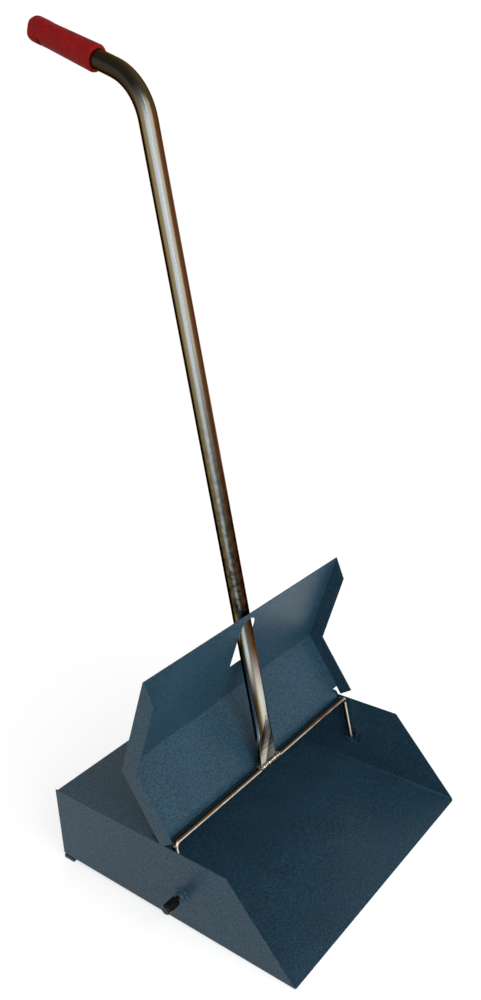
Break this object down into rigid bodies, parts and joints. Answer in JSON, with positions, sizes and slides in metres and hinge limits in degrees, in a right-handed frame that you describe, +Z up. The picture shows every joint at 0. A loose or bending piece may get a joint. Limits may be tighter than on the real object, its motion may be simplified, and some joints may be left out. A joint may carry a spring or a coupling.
{
  "type": "lobby dustpan",
  "caption": "Upright lobby dustpan of painted sheet steel with a tilting lid, a swinging wire bail, and a long bent tubular handle with a soft grip.",
  "frame": {"origin": "middle of the rear foot's underside, on the ground", "axes": "+Z up, the open lip faces -Y, +X to the right seen from the lip's side"},
  "size_m": [0.356, 0.373, 0.814],
  "materials": {
    "blue_paint": "hammered enamel",
    "bright_plate": "bright zinc plate",
    "weld_metal": "plated weld bead",
    "red_grip": "soft moulded plastic",
    "black_cap": "matt moulded"
  },
  "bodies": {
    "pan": {"pan_shell": "blue_paint", "rear_hood": "blue_paint", "rear_foot": "blue_paint"},
    "lid": {"lid_panel": "blue_paint", "hinge_wire": "blue_paint"},
    "handle": {"bail_rod": "bright_plate", "handle_tube": "bright_plate", "handle_weld": "weld_metal", "handle_grip": "red_grip", "pivot_cap_left": "black_cap", "pivot_cap_right": "black_cap"}
  },
  "joints": [
    {"name": "handle_swing", "type": "hinge", "parent": "pan", "child": "handle", "pos_m": [0, -0.1593, 0.0366], "axis": [1, 0, 0], "range_deg": [0, 88]},
    {"name": "lid_tilt", "type": "hinge", "parent": "pan", "child": "lid", "pos_m": [0, -0.1364, 0.08885], "axis": [1, 0, 0], "range_deg": [0, 117.5]}
  ],
  "couplings": [
    {"joint": "lid_tilt", "follows": "handle_swing", "ratio": 1.335}
  ]
}
